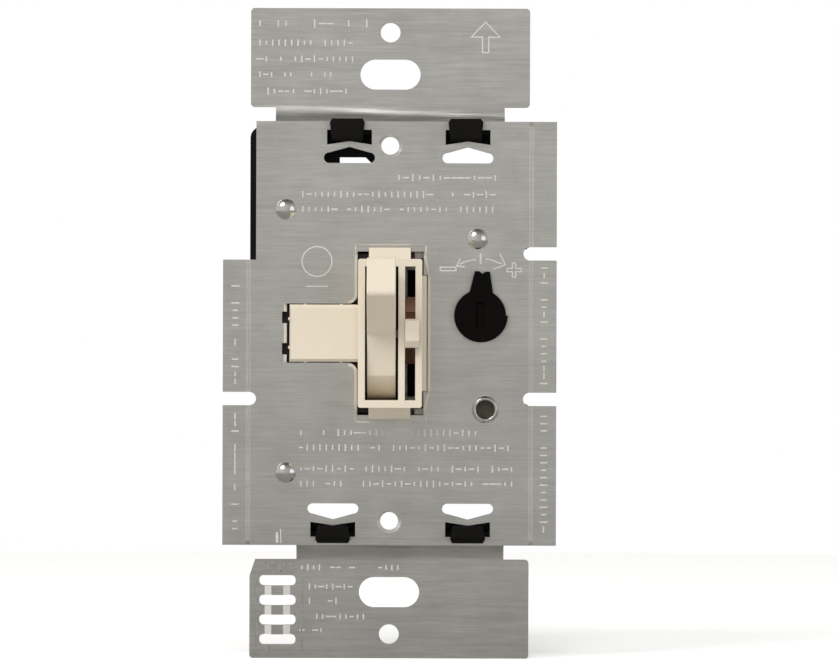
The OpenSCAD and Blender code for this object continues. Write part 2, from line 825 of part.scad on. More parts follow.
// Side view of the toggle standing straight out, pivot at the origin, front to -Y
module toggle_side() {
  root = [-toggle_flat_r * cos(toggle_flat_a), toggle_root_t / 2];
  knee = drum_r * [-cos(toggle_knee_a), sin(toggle_knee_a)];
  tip = toggle_tip_t / 2;
  lower = [[-toggle_reach, tip - tip_r], [-toggle_reach + tip_r, tip], root, knee];
  difference() {
    union() {
      // Drum: flat beside the lever, round further on, and cut off at the back
      intersection() {
        circle(drum_r, $fn = 128);
        polygon([
          [root[0], -root[1]], [root[0], root[1]], knee, [knee[0], drum_r + over],
          [drum_back, drum_r + over], [drum_back, -drum_r - over], [knee[0], -drum_r - over],
          [knee[0], -knee[1]]
        ]);
      }
      // Tapering lever
      polygon([
        lower[0], lower[1], root, [0, root[1]], [0, -root[1]], [root[0], -root[1]],
        [lower[1][0], -tip], [lower[0][0], tip_r - tip]
      ]);
      for (side = [-1, 1])
        translate([-toggle_reach + tip_r, side * (tip - tip_r)]) circle(tip_r);
    }
    circle(pin_r + pin_play);
  }
}

module toggle_lever() {
  color("bisque") translate([0, pivot_y, 0]) rotate([-toggle_lean, 0, 0]) {
    stretch(toggle_sides[0], toggle_sides[1]) toggle_side();
    // Cam that drives the contact shuttle
    difference() {
      union() {
        block(cam_x, [drum_back - seat, cam_reach], [-cam_web_half, cam_web_half]);
        rod_x(cam_reach, 0, cam_r, cam_x[0], cam_x[1]);
      }
      rod_x(0, 0, pin_r + pin_play, cam_x[0] - over, cam_x[1] + over);
    }
  }
}

module pivot_pin() {
  color("lightsteelblue") {
    rod_x(pivot_y, 0, pin_r, pin_head_x, cradle_right[1]);
    rod_x(pivot_y, 0, pin_head_r, pin_head_x, cradle_left[0] - seat);
  }
}

// ---------- slide control ----------

module slide_knob() {
  half = knob_h / 2;
  base = nose_front - knob_lift;
  front = nose_front - knob_rise;
  side = front + knob_bevel;
  brow = -knob_h / 4;
  color("bisque") {
    stretch(slide_x + knob_shift - knob_w / 2, slide_x + knob_shift + knob_w / 2)
      polygon([
        [base, -half], [base, half], [side, half - seat], [front + 0.35, half - 0.35],
        [front, brow], [side, 0.15 - half]
      ]);
    block([slide_x - knob_neck, slide_x + knob_neck], [base - seat, carriage_y[0]],
      [-stem_half, stem_half]);
  }
}

module slide_carriage() {
  middle = carriage_up;
  color("sienna") {
    block(carriage_x, carriage_y, [middle - carriage_l / 2, middle + carriage_l / 2]);
    block(carriage_stem_x, [carriage_y[1] - seat, wiper_y[0]], [-stem_half, stem_half]);
    block([carriage_stem_x[0], pot_x[1] - pot_wall - room], wiper_y, [-wiper_half, wiper_half]);
  }
}

// Sprung fingers that run on the resistive strip
module wiper_contact() {
  half = wiper_half - 0.2;
  tip = strip_y[0] - 0.15;
  color("gold") for (x = finger_x) {
    block([x, x + finger_w], [wiper_y[1], wiper_y[1] + finger_t], [-half, half]);
    for (side = [-1, 1]) scale([1, 1, side])
      block([x, x + finger_w], [wiper_y[1], tip], [half - finger_t, half]);
  }
}

module slide_pot_case() {
  inner_x = [pot_x[0] + pot_wall, pot_x[1] - pot_wall];
  color("darkgray") {
    difference() {
      block(pot_x, pot_y, [-pot_half, pot_half]);
      block(inner_x, [pot_y[0] + pot_wall, pot_y[1] + over],
        [-pot_half + pot_wall, pot_half - pot_wall]);
      // Slot for the carriage's stem
      block([inner_x[0], pot_slot_right], [pot_y[0] - over, pot_y[0] + over],
        [-pot_slot_half, pot_slot_half]);
    }
    // Upright ears that steady the case behind the bezel
    for (side = [-1, 1]) scale([1, 1, side]) block(pot_ear_x, [pot_ear_front, pot_y[0]], pot_ear_z);
  }
}

module resistive_strip() {
  color("saddlebrown")
    block([pot_x[0] + pot_wall + seat, pot_x[1] - pot_wall - seat], strip_y,
      [-pot_half + pot_wall + seat, pot_half - pot_wall - seat]);
}

// ---------- trim dial ----------

module dial_front_shape() {
  tip_half = 1.2;
  root_half = 1.9;
  notch_half = 0.5;
  notch_depth = 0.4;
  extra = 0.15;
  circle(dial_r);
  // The lower half is a little wider
  intersection() {
    translate([extra, 0]) circle(dial_r + extra);
    translate([-2 * dial_r, -2 * dial_r]) square([4 * dial_r, 2 * dial_r]);
  }
  rotate([0, 0, -pointer_lean]) polygon([
    [-root_half, 0], [root_half, 0], [root_half, dial_r - notch_half], [tip_half, pointer_l],
    [notch_half, pointer_l], [0, pointer_l - notch_depth], [-notch_half, pointer_l],
    [-tip_half, pointer_l], [-root_half, dial_r - notch_half]
  ]);
}

module trim_dial() {
  slot_w = 1.3;
  slot_l = 4.3;
  slot_d = 0.4;
  color("dimgray") difference() {
    union() {
      translate([dial_x, 0, dial_z])
        slab(dial_front, centre_front - dial_gap) dial_front_shape();
      rod_y(dial_x, dial_z, dial_hub_r, centre_front - dial_gap - seat, frame_back);
      rod_y(dial_x, dial_z, dial_stem_r, frame_back - seat, rotor_y[0]);
    }
    block([dial_x - slot_w / 2, dial_x + slot_w / 2], [dial_front - over, dial_front + slot_d],
      [dial_z - slot_l / 2, dial_z + slot_l / 2]);
  }
}

module trim_rotor() {
  color("white") rod_y(dial_x, dial_z, rotor_r, rotor_y[0], rotor_y[1]);
}

module trim_pot_case() {
  color("royalblue") difference() {
    block([dial_x - trim_half, dial_x + trim_half], [trim_y, board_y - seat],
      [dial_z - trim_half, dial_z + trim_half]);
    rod_y(dial_x, dial_z, rotor_r + rotor_play, trim_y - over, rotor_y[1] + 0.3);
  }
}

// ---------- mechanism ----------

module mechanism_frame() {
  color("#2b2b2b") difference() {
    union() {
      block([-frame_half[0], frame_half[0]], [behind_plate, frame_back],
        [-frame_half[1], frame_half[1]]);
      // Cradle on both sides of the toggle, closed at its ends
      block(cradle_left, [behind_plate, board_y - seat], [-cradle_half, cradle_half]);
      block(cradle_right, [behind_plate, board_y - seat], [-cradle_half, cradle_half]);
      for (side = [-1, 1])
        block([cradle_left[0], cradle_right[1]], [behind_plate, board_y - seat],
          side > 0 ? [cradle_half - cradle_end_t, cradle_half]
            : [-cradle_half, cradle_end_t - cradle_half]);
      for (post = frame_posts) {
        rod_y(post[0], post[1], post_r, frame_back - seat, board_y - seat);
        rod_y(post[0], post[1], peg_r, board_y - over, board_back + peg_tail);
      }
    }
    // Opening for the bezel, the toggle and the carriage
    block([cradle_left[1], cradle_right[0]], [behind_plate - over, frame_back + over],
      [-cradle_half + cradle_end_t, cradle_half - cradle_end_t]);
    block([cradle_right[1], frame_opening[1]], [behind_plate - over, frame_back + over],
      [-frame_opening_half, frame_opening_half]);
    for (side = [-1, 1])
      block([frame_opening[0], cradle_right[1] + over], [behind_plate - over, frame_back + over],
        side > 0 ? [cradle_half, frame_opening_half] : [-frame_opening_half, -cradle_half]);
    // Room for the triac at the top left
    block([-frame_half[0] - over, triac_x[1] + room], [behind_plate - over, frame_back + over],
      [triac_rivet[1] - triac_half - room, frame_half[1] + over]);
    // Holes for the rivets, the dial, the earth tab, the bezel's pegs and the pin
    for (i = [1, 2])
      rod_y(rivet_places[i][0], rivet_places[i][1], rivet_shank_r, behind_plate - over,
        frame_back + over);
    rod_y(dial_x, dial_z, dial_hub_r + dial_hub_play, behind_plate - over, frame_back + over);
    block([eyelet_place[0] - tab_room, frame_half[0] + over], [behind_plate - over, frame_back + over],
      [eyelet_place[1] - ground_tab_l - room, eyelet_place[1] + tab_room]);
    for (peg = bezel_pegs)
      rod_y(peg[0], peg[1], bezel_peg_r + seat, behind_plate - over, frame_back + over);
    rod_x(pivot_y, 0, pin_r + seat / 2, cradle_left[0] - over, cradle_right[1] + over);
    rod_x(pivot_y, 0, pin_head_r + seat, pin_head_x - seat, cradle_left[0]);
  }
}

// Leaf spring whose peak presses on the back of the drum
module detent_spring() {
  leaf_t = 0.3;
  leaf_x = [-3.5, -2.8];
  foot = cradle_half - cradle_end_t - seat;
  foot_y = 9.8;
  knee = 5.4;
  peak_y = 5.2;
  color("lightsteelblue") stretch(leaf_x[0], leaf_x[1])
    polygon([
      [foot_y, -foot], [foot_y, -knee], [peak_y, 0], [foot_y, knee], [foot_y, foot],
      [foot_y + leaf_t, foot], [foot_y + leaf_t, knee - leaf_t / 2],
      [peak_y + 1.4 * leaf_t, 0], [foot_y + leaf_t, -knee + leaf_t / 2],
      [foot_y + leaf_t, -foot]
    ]);
}

module contact_shuttle() {
  slot_half_z = cam_r + cam_play;
  color("ivory") translate([0, 0, shuttle_rest_z]) difference() {
    block(shuttle_x, shuttle_y, [-shuttle_half, shuttle_half]);
    block([shuttle_x[0] - over, shuttle_x[1] + over],
      [shuttle_y[0] - over, pivot_y + cam_reach + cam_r + cam_play],
      [-slot_half_z, slot_half_z]);
  }
}

module bridging_contact() {
  blade_y = [shuttle_y[1], shuttle_y[1] + bridge_t];
  color("peru") translate([0, 0, shuttle_rest_z]) {
    block([shuttle_x[0] + blade_inset, shuttle_x[1] - blade_inset], blade_y,
      [-bridge_half, bridge_half]);
    for (side = [-1, 1])
      rod_y((shuttle_x[0] + shuttle_x[1]) / 2, side * dimple_z, dimple_r, blade_y[1] - seat,
        blade_y[1] + dimple_t);
  }
}

module fixed_contacts() {
  color("goldenrod") for (z = [-pad_pitch, 0, pad_pitch])
    block([cradle_left[1] + room, cradle_right[0] - room], [board_y - pad_t, board_y],
      [z - pad_half, z + pad_half]);
}

// ---------- circuit ----------

module circuit_board() {
  color("darkolivegreen") difference() {
    block([-board_w / 2, board_w / 2], [board_y, board_back], [-board_h / 2, board_h / 2]);
    for (post = frame_posts) rod_y(post[0], post[1], peg_r + seat, board_y - over, board_back + over);
  }
}

module triac() {
  z = triac_rivet[1];
  front = centre_back + triac_pad_t;
  lead_half = triac_lead / 2;
  lead_y = front + triac_lead_depth;
  bend_x = triac_x[1] + triac_lead_run;
  color("#202020") {
    difference() {
      block([triac_x[0], triac_tab_end + over], [front, triac_tab_back], [z - triac_half, z + triac_half]);
      rod_y(triac_rivet[0], z, rivet_shank_r, front - over, triac_tab_back + over);
    }
    block([triac_tab_end, triac_x[1]], [front, front + triac_body_t], [z - triac_half, z + triac_half]);
    for (i = [-1, 0, 1]) translate([0, 0, z + i * triac_pitch]) {
      block([triac_x[1] - seat, bend_x], [lead_y, lead_y + lead_half], [-lead_half, lead_half]);
      block([bend_x - triac_lead, bend_x], [lead_y, board_y], [-lead_half, lead_half]);
    }
  }
}

module triac_pad() {
  z = triac_rivet[1];
  color("lightpink") difference() {
    block([triac_x[0] - pad_margin, triac_x[1] + pad_margin],
      [centre_back, centre_back + triac_pad_t],
      [z - triac_half - pad_margin, z + triac_half + pad_margin]);
    rod_y(triac_rivet[0], z, rivet_shank_r, centre_back - over, over);
  }
}

module choke_core() {
  color("khaki") translate([choke_place[0], choke_front, choke_place[1]]) rotate([-90, 0, 0])
    rotate_extrude() translate([choke_ring[0], 0])
      square([choke_ring[1] - choke_ring[0], choke_t]);
}

// Single layer of thick wire wound most of the way around the core
module choke_winding() {
  step = choke_arc / choke_turns;
  wire_angle = step * 0.8 / 2;
  color("#b87333") translate([choke_place[0], choke_front, choke_place[1]]) rotate([-90, 0, 0])
    for (i = [0 : choke_turns - 1]) rotate([0, 0, i * step])
      difference() {
        rotate_extrude(angle = wire_angle)
          translate([choke_ring[0] - choke_wire, -choke_wire])
            square([choke_ring[1] - choke_ring[0] + 2 * choke_wire, choke_t + 2 * choke_wire]);
        translate([0, 0, -seat / 2]) rotate([0, 0, -step]) rotate_extrude(angle = 3 * step)
          translate([choke_ring[0] - seat / 2, 0])
            square([choke_ring[1] - choke_ring[0] + seat, choke_t + seat]);
      }
}

module film_capacitor() {
  color("firebrick") block(film_x, [board_back, board_back + film_d], film_z);
}

module electrolytic_capacitors() {
  color("midnightblue") for (place = cap_places)
    rod_y(place[0], place[1], cap_r, board_back, board_back + cap_l);
}

// Small part on two bent wires
module axial_part(x, z, r, l) {
  y = board_back + r + room;
  reach = l / 2 + wire_run;
  rod_x(y, z, r, x - l / 2, x + l / 2);
  rod_x(y, z, wire_r, x - reach, x + reach);
  for (side = [-1, 1]) rod_y(x + side * reach, z, wire_r, board_back, y + wire_r);
}

module resistors() {
  color("tan") for (z = resistor_z) axial_part(resistor_x, z, resistor_r, resistor_l);
}

module diac() {
  color("orange") axial_part(diac_place[0], diac_place[1], diac_r, diac_l);
}

// ---------- terminals ----------

// Places children at each terminal given, on its side of the cover, outward along +X
module at_terminals(list) {
  for (t = list)
    translate([0, 0, t[1]]) mirror([t[0] < 0 ? 1 : 0, 0, 0]) children();
}

module terminal_plates() {
  tail_y = [board_y - term_plate_t, board_y];
  color("goldenrod") at_terminals(terminals) difference() {
    union() {
      block([recess_floor, recess_floor + term_plate_t], [tail_y[0], term_y + clamp_half + 0.6],
        [-clamp_half, clamp_half]);
      block([board_w / 2 - tail_lap, recess_floor + seat], tail_y, [-tail_half, tail_half]);
    }
    rod_x(term_y, 0, screw_r + thread_play, recess_floor - over, clamp_x);
  }
}

module terminal_clamps() {
  color("silver") at_terminals(terminals) difference() {
    block([clamp_x, head_x], [term_y - clamp_half, term_y + clamp_half], [-clamp_half, clamp_half]);
    rod_x(term_y, 0, screw_r + thread_play, clamp_x - over, head_x + over);
  }
}

module terminal_screw() {
  drive_x = [head_x + head_t - drive_d, head_x + head_t + over];
  cross = screw_head_r * 0.6;
  difference() {
    union() {
      rod_x(term_y, 0, screw_r, recess_floor - screw_tail, head_x + seat);
      rod_x(term_y, 0, screw_head_r, head_x, head_x + head_t);
    }
    // Straight slot, crossed by a shorter one
    block(drive_x, [term_y - drive_w / 2, term_y + drive_w / 2], [-screw_head_r, screw_head_r]);
    block(drive_x, [term_y - cross, term_y + cross], [-drive_w / 2, drive_w / 2]);
  }
}

module traveller_screws() {
  color("gold") at_terminals([terminals[0], terminals[1]]) terminal_screw();
}

module common_screw() {
  color("#333333") at_terminals([terminals[2]]) terminal_screw();
}

// ---------- back cover ----------

// Snap hook of the upper side, crossed from a side view and a tapering front view
module snap_hook(reach) {
  back = shelf_depth;
  plate = centre_front - seat;
  tip = centre_front - hook_rise;
  leg = [window_z0 + 0.6, window_z1 - 0.25];
  top = window_z1 + reach;
  half = hook_w / 2;
  intersection() {
    stretch(-half, half)
      polygon([
        [back, leg[0]], [tip + hook_slope, leg[0]], [tip, leg[0] + hook_slope], [tip, top - 1],
        [tip + hook_slope, top - hook_brow], [plate - 0.35, top], [plate, top], [plate, leg[1]],
        [back, leg[1]]
      ]);
    slab(tip, back)
      polygon([
        [-half + hook_taper, leg[0]], [half - hook_taper, leg[0]], [half, top - hook_brow],
        [half - hook_taper, top], [-half + hook_taper, top], [-half, top - hook_brow]
      ]);
  }
}

module cover_shell() {
  difference() {
    union() {
      slab(behind_plate, shelf_depth) round_rect(cover_w, shelf_h, cover_r);
      slab(shelf_depth - seat, cover_depth) round_rect(cover_w, box_h, cover_r);
    }
    slab(behind_plate - over, cover_depth - cover_wall)
      round_rect(cover_w - 2 * cover_wall, box_h - 2 * cover_wall, cover_r - cover_wall / 2);
    // Shallow room in front of the shelf
    for (side = [-1, 1])
      block([-cover_half + cover_wall, cover_half - cover_wall], [behind_plate - over, shelf_floor],
        side > 0 ? [box_half - over, shelf_half - cover_wall]
          : [cover_wall - shelf_half, over - box_half]);
  }
}

module back_cover() {
  color("#1c1c1c") difference() {
    union() {
      cover_shell();
      // Inner walls of the terminal recesses
      at_terminals(terminals)
        block([recess_floor - cover_wall, cover_half - seat],
          [term_y - recess_half - cover_wall, term_y + recess_half + cover_wall],
          [-recess_half - cover_wall, recess_half + cover_wall]);
      // Thicker wall inside each groove
      for (place = fin_grooves)
        scale([place[0], 1, 1])
          block([fin_gap_x - seat - cover_wall, cover_half - seat],
            [shelf_floor, cover_depth - seat],
            [place[1] - fin_gap / 2 - cover_wall, place[1] + fin_gap / 2 + cover_wall]);
      for (hook = hooks)
        translate([hook[0] - (hook[1] > 0 ? hook_shift : 0), 0, 0]) scale([1, 1, hook[1]])
          snap_hook(hook[1] > 0 ? hook_reach : hook_reach_low);
    }
    at_terminals(terminals) {
      block([recess_floor, cover_half + over], [term_y - recess_half, term_y + recess_half],
        [-recess_half, recess_half]);
      // Holes for the screw's end and for the terminal's tail
      rod_x(term_y, 0, screw_r + 3 * thread_play, recess_floor - cover_wall - over,
        recess_floor + over);
      block([recess_floor - cover_wall - over, recess_floor + over],
        [board_y - term_plate_t - seat, board_y + seat],
        [-tail_half - thread_play, tail_half + thread_play]);
    }
    for (side = [-1, 1])
      rod_y(0, side * cover_hole_pitch / 2, cover_hole_r + room, behind_plate - over,
        shelf_depth + over);
    // Grooves behind the fin cuts
    for (place = fin_grooves)
      scale([place[0], 1, 1])
        block([fin_gap_x - seat, cover_half + over], [behind_plate - over, cover_depth + over],
          [place[1] - fin_gap / 2 - seat, place[1] + fin_gap / 2 + seat]);
    // Openings behind the relief slots; the first is partly covered
    slab(behind_plate - over, shelf_depth + over)
      polygon([
        [relief_view_x[0], box_half], [relief_view_x[1] + relief_view_slant, box_half],
        [relief_view_x[1], relief_view_z], [relief_view_x[0], relief_view_z]
      ]);
    for (i = [1, 2, 3])
      translate([hooks[i][0], 0, 0]) scale([1, 1, hooks[i][1]])
        block([-relief_w / 2 - 2 * room, relief_w / 2 + 2 * room],
          [behind_plate - over, shelf_depth + over], [box_half, window_z0 - seat]);
  }
}

// ---------- assembly ----------

yoke_plate();
rivets();
eyelet();
ground_tab();
bezel();
toggle_lever();
pivot_pin();
slide_knob();
slide_carriage();
wiper_contact();
slide_pot_case();
resistive_strip();
trim_dial();
trim_rotor();
trim_pot_case();
mechanism_frame();
detent_spring();
contact_shuttle();
bridging_contact();
fixed_contacts();
circuit_board();
triac();
triac_pad();
choke_core();
choke_winding();
film_capacitor();
electrolytic_capacitors();
resistors();
diac();
terminal_plates();
terminal_clamps();
traveller_screws();
common_screw();
back_cover();
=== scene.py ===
"""Looks of a toggle dimmer with a slide control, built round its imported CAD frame."""

import json
import math
import random

import bmesh
import bpy
from mathutils import Matrix, Vector
from mathutils.bvhtree import BVHTree


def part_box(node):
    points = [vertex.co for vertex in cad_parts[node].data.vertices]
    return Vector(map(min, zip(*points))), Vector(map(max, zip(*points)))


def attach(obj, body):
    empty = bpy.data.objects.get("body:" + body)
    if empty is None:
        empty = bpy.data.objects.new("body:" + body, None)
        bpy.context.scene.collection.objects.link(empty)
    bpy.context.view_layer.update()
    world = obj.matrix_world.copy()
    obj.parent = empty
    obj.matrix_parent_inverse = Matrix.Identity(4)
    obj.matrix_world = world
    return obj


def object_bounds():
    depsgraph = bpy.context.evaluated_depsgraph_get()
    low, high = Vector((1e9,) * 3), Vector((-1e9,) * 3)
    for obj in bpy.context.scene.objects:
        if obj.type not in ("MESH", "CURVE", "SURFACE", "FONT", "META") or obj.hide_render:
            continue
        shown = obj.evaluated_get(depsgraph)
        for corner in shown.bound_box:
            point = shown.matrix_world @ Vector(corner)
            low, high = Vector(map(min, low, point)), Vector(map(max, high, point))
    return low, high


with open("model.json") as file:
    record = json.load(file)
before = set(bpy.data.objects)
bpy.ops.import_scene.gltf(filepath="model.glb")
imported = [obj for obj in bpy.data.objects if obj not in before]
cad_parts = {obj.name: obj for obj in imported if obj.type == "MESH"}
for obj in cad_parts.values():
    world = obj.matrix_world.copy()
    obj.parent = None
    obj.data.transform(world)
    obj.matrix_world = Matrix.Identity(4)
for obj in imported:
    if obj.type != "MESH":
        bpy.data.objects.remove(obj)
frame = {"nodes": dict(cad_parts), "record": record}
MM = 0.001
CAD_LOW, CAD_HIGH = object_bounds()
scene = bpy.context.scene
MOUNTS = {m["name"]: m for m in frame["record"]["mounts"]}
CENTRE_Y = MOUNTS["toggle_cover_screws"]["pos_m"][1]
EAR_Y = MOUNTS["decorator_cover_screws"]["pos_m"][1]


def add_object(name, data):
    obj = bpy.data.objects.new(name, data)
    scene.collection.objects.link(obj)
    return obj


# ---------------------------------------------------------------- camera

# The picture's width in pixels, and its scale at the plane of the ears
IMAGE_W = 836
PX_PER_MM = 6.2148
LENS, SENSOR = 250.0, 36.0
CLIP = (0.05, 20.0)
# The photograph's slight roll, and the point in mm that the middle of the picture looks at
ROLL = math.radians(0.175)
AIM_X, AIM_Z = 4.55, 0.31


def make_camera():
    data = bpy.data.cameras.new("camera")
    data.lens, data.sensor_width = LENS, SENSOR
    data.clip_start, data.clip_end = CLIP
    cam = add_object("camera", data)
    distance = IMAGE_W / PX_PER_MM * MM * LENS / SENSOR
    cam.location = (AIM_X * MM, EAR_Y - distance, AIM_Z * MM)
    look = Vector((0, 1, 0)).to_track_quat("-Z", "Y").to_matrix()
    cam.rotation_euler = (Matrix.Rotation(-ROLL, 3, "Y") @ look).to_euler()
    scene.camera = cam


make_camera()

# ---------------------------------------------------------------- node helpers


def new_material(name):
    mat = bpy.data.materials.new(name)
    mat.use_nodes = True
    return mat, mat.node_tree, mat.node_tree.nodes["Principled BSDF"]


def noise(nt, scale, detail=4.0, stretch=(1, 1, 1), rough=0.55):
    coord = nt.nodes.new("ShaderNodeTexCoord")
    mapping = nt.nodes.new("ShaderNodeMapping")
    mapping.inputs["Scale"].default_value = stretch
    tex = nt.nodes.new("ShaderNodeTexNoise")
    tex.inputs["Scale"].default_value = scale
    tex.inputs["Detail"].default_value = detail
    tex.inputs["Roughness"].default_value = rough
    nt.links.new(coord.outputs["Object"], mapping.inputs[0])
    nt.links.new(mapping.outputs[0], tex.inputs["Vector"])
    return tex.outputs["Fac"]


def remap(nt, value, low, high, start=0.3, end=0.7):
    node = nt.nodes.new("ShaderNodeMapRange")
    node.inputs["From Min"].default_value = start
    node.inputs["From Max"].default_value = end
    node.inputs["To Min"].default_value = low
    node.inputs["To Max"].default_value = high
    nt.links.new(value, node.inputs["Value"])
    return node.outputs[0]


def math_node(nt, kind, a, b):
    node = nt.nodes.new("ShaderNodeMath")
    node.operation = kind
    for i, v in enumerate((a, b)):
        if isinstance(v, (int, float)):
            node.inputs[i].default_value = v
        else:
            nt.links.new(v, node.inputs[i])
    return node.outputs[0]


def object_place(nt):
    """The point on the object, split into X, Y and Z in m."""
    coord = nt.nodes.new("ShaderNodeTexCoord")
    place = nt.nodes.new("ShaderNodeSeparateXYZ")
    nt.links.new(coord.outputs["Object"], place.inputs[0])
    return place.outputs


def mix_color(nt, fac, a, b):
    node = nt.nodes.new("ShaderNodeMix")
    node.data_type = "RGBA"
    nt.links.new(fac, node.inputs["Factor"])
    for key, v in (("A", a), ("B", b)):
        sock = [s for s in node.inputs if s.name == key and s.type == "RGBA"][0]
        if isinstance(v, (tuple, list)):
            sock.default_value = (*v, 1) if len(v) == 3 else v
        else:
            nt.links.new(v, sock)
    return [s for s in node.outputs if s.type == "RGBA"][0]


def bump(nt, height, strength, distance):
    node = nt.nodes.new("ShaderNodeBump")
    node.inputs["Strength"].default_value = strength
    node.inputs["Distance"].default_value = distance
    nt.links.new(height, node.inputs["Height"])
    return node.outputs["Normal"]


# ---------------------------------------------------------------- light

scene.view_settings.view_transform = "Standard"
scene.view_settings.look = "None"

# Brightness of the studio by height of the direction, -1 straight down to 1 straight up
STUDIO = ((-1.0, 0.10), (-0.55, 0.26), (-0.15, 0.45), (0.1, 0.44), (0.5, 0.45), (0.8, 0.25),
          (1.0, 0.10))
STUDIO_TINT = (1.0, 0.985, 0.95)
# Brightness of the studio's left and right sides, which blend over half its width
LEFT_SIDE, RIGHT_SIDE, SIDE_BLEND = 1.20, 0.80, 0.5
# Soft bounce from white walls, which gloss doesn't show
DIFFUSE_GAIN = 1.36
WARM, COOL = (1.0, 0.985, 0.96), (0.97, 0.985, 1.0)
# Lamps: name, place, diameter, power, colour, whether gloss shows them
LAMPS = (("key", (-0.45, -0.55, 0.60), 0.40, 3.3, WARM, True),
         ("top", (0.003, -0.60, 0.60), 0.25, 2.2, WARM, False),
         ("fill", (0.6, -0.5, 0.05), 0.6, 0.6, COOL, True))


def make_world():
    world = bpy.data.worlds.new("studio")
    scene.world = world
    world.use_nodes = True
    nt = world.node_tree
    nt.nodes.clear()
    out = nt.nodes.new("ShaderNodeOutputWorld")
    mix = nt.nodes.new("ShaderNodeMixShader")
    seen = nt.nodes.new("ShaderNodeBackground")
    lit = nt.nodes.new("ShaderNodeBackground")
    path = nt.nodes.new("ShaderNodeLightPath")
    seen.inputs["Color"].default_value = (1, 1, 1, 1)
    coord = nt.nodes.new("ShaderNodeTexCoord")
    split = nt.nodes.new("ShaderNodeSeparateXYZ")
    nt.links.new(coord.outputs["Generated"], split.inputs[0])
    height = nt.nodes.new("ShaderNodeMapRange")
    height.inputs["From Min"].default_value = -1.0
    nt.links.new(split.outputs["Z"], height.inputs["Value"])
    ramp = nt.nodes.new("ShaderNodeValToRGB")
    ramp.color_ramp.interpolation = "EASE"
    while len(ramp.color_ramp.elements) < len(STUDIO):
        ramp.color_ramp.elements.new(0.5)
    for element, (z, grey) in zip(ramp.color_ramp.elements, STUDIO):
        element.position = (z + 1) / 2
        element.color = (*(grey * tint for tint in STUDIO_TINT), 1)
    nt.links.new(height.outputs[0], ramp.inputs[0])
    side = nt.nodes.new("ShaderNodeMapRange")
    side.interpolation_type = "SMOOTHSTEP"
    side.inputs["From Min"].default_value = -SIDE_BLEND
    side.inputs["From Max"].default_value = SIDE_BLEND
    side.inputs["To Min"].default_value = LEFT_SIDE
    side.inputs["To Max"].default_value = RIGHT_SIDE
    nt.links.new(split.outputs["X"], side.inputs["Value"])
    nt.links.new(ramp.outputs[0], lit.inputs["Color"])
    bounce = nt.nodes.new("ShaderNodeMapRange")
    bounce.inputs["To Min"].default_value = DIFFUSE_GAIN
    bounce.inputs["To Max"].default_value = 1.0
    nt.links.new(path.outputs["Is Glossy Ray"], bounce.inputs["Value"])
    nt.links.new(math_node(nt, "MULTIPLY", side.outputs[0], bounce.outputs[0]),
                 lit.inputs["Strength"])
    nt.links.new(path.outputs["Is Camera Ray"], mix.inputs[0])
    nt.links.new(lit.outputs[0], mix.inputs[1])
    nt.links.new(seen.outputs[0], mix.inputs[2])
    nt.links.new(mix.outputs[0], out.inputs[0])


def area_light(name, place, size, power, color, glossy):
    """A round lamp that points at the middle of the object."""
    data = bpy.data.lights.new(name, "AREA")
    data.shape, data.size = "DISK", size
    data.energy, data.color = power, color
    lamp = add_object(name, data)
    lamp.location = place
    lamp.rotation_euler = (-Vector(place)).to_track_quat("-Z", "Y").to_euler()
    lamp.visible_glossy = glossy


make_world()
for lamp_row in LAMPS:
    area_light(*lamp_row)

# ---------------------------------------------------------------- materials

# The plate's bends, between its centre and its ears, in m from the middle
BEND = (0.0334, 0.0364)
# Beyond this, at the score lines and outer edges, the slanted faces get less of the painted
# highlight
SCORE_X, SCORE_HIGHLIGHT = 0.0212, 0.3
# The rims of the cover-screw holes, as far out as X and beyond height Z, get less of the painted
# highlight
RIM_X, RIM_Z, RIM_HIGHLIGHT = 0.003, 0.027, 0.45
# How far a face's normal points forward: it is slanted from the first value of SLANT, fully
# at the second, and no longer a side face from the first value of SIDEWAYS, fully at the second
SLANT, SIDEWAYS = (0.96, 0.84), (0.15, 0.35)
# Shares of fine grain, broad bands and cloudy patches in the brushed metal
GRAIN, BANDS, CLOUDS = 0.40, 0.22, 0.38


def edge_burnish_and_highlight(nt):
    """1 on faces at a slant to the plate, such as coined bevels, apart from the bends: partly real
    burnish, partly a painted highlight on the edges.
    """
    geometry = nt.nodes.new("ShaderNodeNewGeometry")
    normal = nt.nodes.new("ShaderNodeSeparateXYZ")
    nt.links.new(geometry.outputs["True Normal"], normal.inputs[0])
    facing = math_node(nt, "ABSOLUTE", normal.outputs["Y"], 0.0)
    tilt = remap(nt, facing, 0.0, 1.0, *SLANT)
    front = remap(nt, facing, 0.0, 1.0, *SIDEWAYS)
    place = object_place(nt)
    height = math_node(nt, "ABSOLUTE", place["Z"], 0.0)
    outside = math_node(nt, "MAXIMUM", math_node(nt, "LESS_THAN", height, BEND[0]),
                        math_node(nt, "GREATER_THAN", height, BEND[1]))
    across = math_node(nt, "ABSOLUTE", place["X"], 0.0)
    inner = math_node(nt, "LESS_THAN", across, SCORE_X)
    dull = remap(nt, inner, SCORE_HIGHLIGHT, 1.0, 0.0, 1.0)
    rim = math_node(nt, "MULTIPLY", math_node(nt, "LESS_THAN", across, RIM_X),
                    math_node(nt, "GREATER_THAN", height, RIM_Z))
    dull = math_node(nt, "MULTIPLY", dull, remap(nt, rim, 1.0, RIM_HIGHLIGHT, 0.0, 1.0))
    burnish_and_highlight = math_node(nt, "MULTIPLY", math_node(nt, "MULTIPLY", tilt, front), outside)
    return math_node(nt, "MULTIPLY", burnish_and_highlight, dull)


